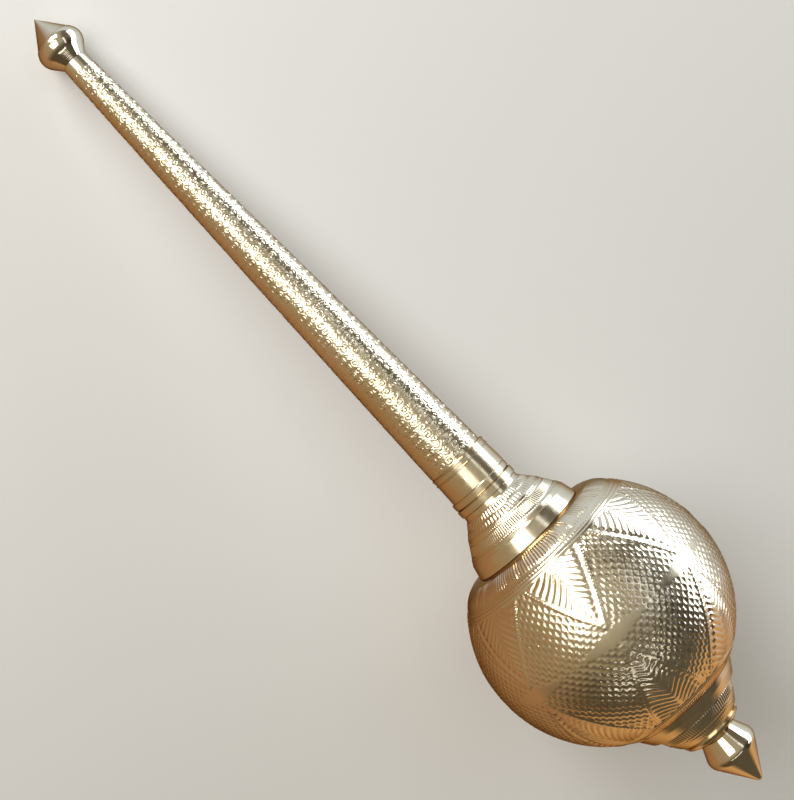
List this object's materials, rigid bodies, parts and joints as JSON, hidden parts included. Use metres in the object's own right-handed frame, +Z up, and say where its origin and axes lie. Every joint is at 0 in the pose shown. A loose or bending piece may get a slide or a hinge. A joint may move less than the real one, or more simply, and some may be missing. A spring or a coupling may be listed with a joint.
{
  "type": "ceremonial mace",
  "caption": "Ceremonial brass mace: tapering chased handle, round ball head with palm leaf and punched pattern, smooth collars and pointed finials; lies on small flat spots.",
  "frame": {"origin": "under the middle of the mace's bounding box, on the surface it lies on", "axes": "+X along the mace from the butt finial towards the head, +Z up"},
  "size_m": [0.7034, 0.1792, 0.1785],
  "materials": {
    "polished_brass": "polished, with fine handling scratches",
    "chased_brass": "polished chased sheet, duller in the sunk work"
  },
  "bodies": {
    "root": {"butt_finial": "polished_brass", "handle": "chased_brass", "neck_socket": "chased_brass", "ball_head": "chased_brass", "end_cup": "chased_brass", "tip_finial": "polished_brass"}
  },
  "joints": []
}
